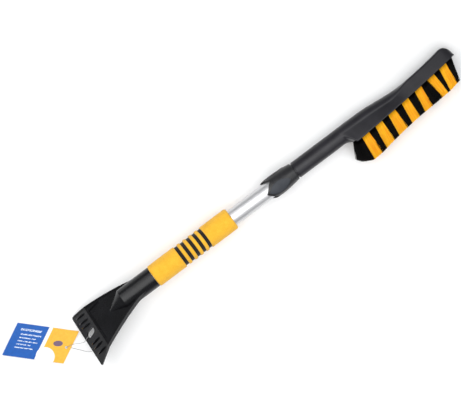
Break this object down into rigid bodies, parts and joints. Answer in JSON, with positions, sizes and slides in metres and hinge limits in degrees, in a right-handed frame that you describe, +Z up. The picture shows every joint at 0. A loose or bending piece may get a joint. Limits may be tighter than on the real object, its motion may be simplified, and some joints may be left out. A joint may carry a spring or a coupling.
{
  "type": "telescopic snow brush with ice scraper",
  "caption": "Telescopic snow brush: striped bristle block on a twist-lock tube with a foam grip and a ribbed ice scraper at the other end.",
  "frame": {"origin": "on the ground under the middle of the object as it lies, slid shut", "axes": "+X along the object from the scraping edge towards the tip of the brush, +Z up; the tube runs 3.3 degrees below +X"},
  "size_m": [0.7635, 0.1159, 0.0652],
  "materials": {
    "scraper_plastic": "satin moulded plastic",
    "screw_steel": "zinc-plated steel",
    "tube_aluminium": "satin anodised aluminium",
    "inner_plastic": "plain moulded plastic",
    "guide_plastic": "natural slippery plastic",
    "foam_yellow": "closed-cell foam",
    "foam_black": "closed-cell foam",
    "collar_plastic": "satin moulded plastic",
    "soft_pad": "soft-touch rubber",
    "handle_plastic": "semi-gloss moulded plastic",
    "bristle_black": "plastic filaments",
    "bristle_yellow": "plastic filaments",
    "staple_steel": "steel wire",
    "card": "coated card printed in two colours",
    "sticker": "paper sticker",
    "thread": "thin twisted thread"
  },
  "bodies": {
    "handle": {"scraper_head": "scraper_plastic", "scraper_screw": "screw_steel", "outer_tube": "tube_aluminium", "rear_bumper": "inner_plastic", "grip_rear": "foam_yellow", "grip_front": "foam_yellow", "grip_black_ring_1": "foam_black", "grip_black_ring_2": "foam_black", "grip_black_ring_3": "foam_black", "grip_black_ring_4": "foam_black", "grip_black_ring_5": "foam_black", "grip_yellow_ring_1": "foam_yellow", "grip_yellow_ring_2": "foam_yellow", "grip_yellow_ring_3": "foam_yellow", "grip_yellow_ring_4": "foam_yellow", "collet_bushing": "inner_plastic", "tag_card": "card", "tag_sticker": "sticker", "tag_thread": "thread"},
    "lock_collar": {"lock_collar": "collar_plastic", "collar_pad_1": "soft_pad", "collar_pad_2": "soft_pad", "collar_pad_3": "soft_pad"},
    "slide_guide": {"guide_ring": "guide_plastic"},
    "brush": {"guide_plug": "inner_plastic", "inner_tube": "tube_aluminium", "brush_handle": "handle_plastic", "handle_screw": "screw_steel", "bristles_1": "bristle_black", "bristles_2": "bristle_yellow", "bristles_3": "bristle_black", "bristles_4": "bristle_yellow", "bristles_5": "bristle_black", "bristles_6": "bristle_yellow", "bristles_7": "bristle_black", "bristles_8": "bristle_yellow", "bristles_9": "bristle_black", "bristles_10": "bristle_yellow", "bristles_11": "bristle_black", "bristles_12": "bristle_yellow", "bristles_13": "bristle_black", "bristles_14": "bristle_yellow", "bristles_15": "bristle_black", "tuft_staples": "staple_steel"}
  },
  "joints": [
    {"name": "collar_twist", "type": "hinge", "parent": "handle", "child": "lock_collar", "pos_m": [0.02622, 0.0158, 0.03279], "axis": [0.9983, 0, -0.0576], "range_deg": [0, 90]},
    {"name": "tube_slide", "type": "slide", "parent": "handle", "child": "slide_guide", "axis": [0.9983, 0, -0.0576], "range_m": [0, 0.22]},
    {"name": "brush_swivel", "type": "hinge", "parent": "slide_guide", "child": "brush", "pos_m": [-0.21238, 0.0158, 0.04655], "axis": [0.9983, 0, -0.0576], "continuous": true}
  ]
}
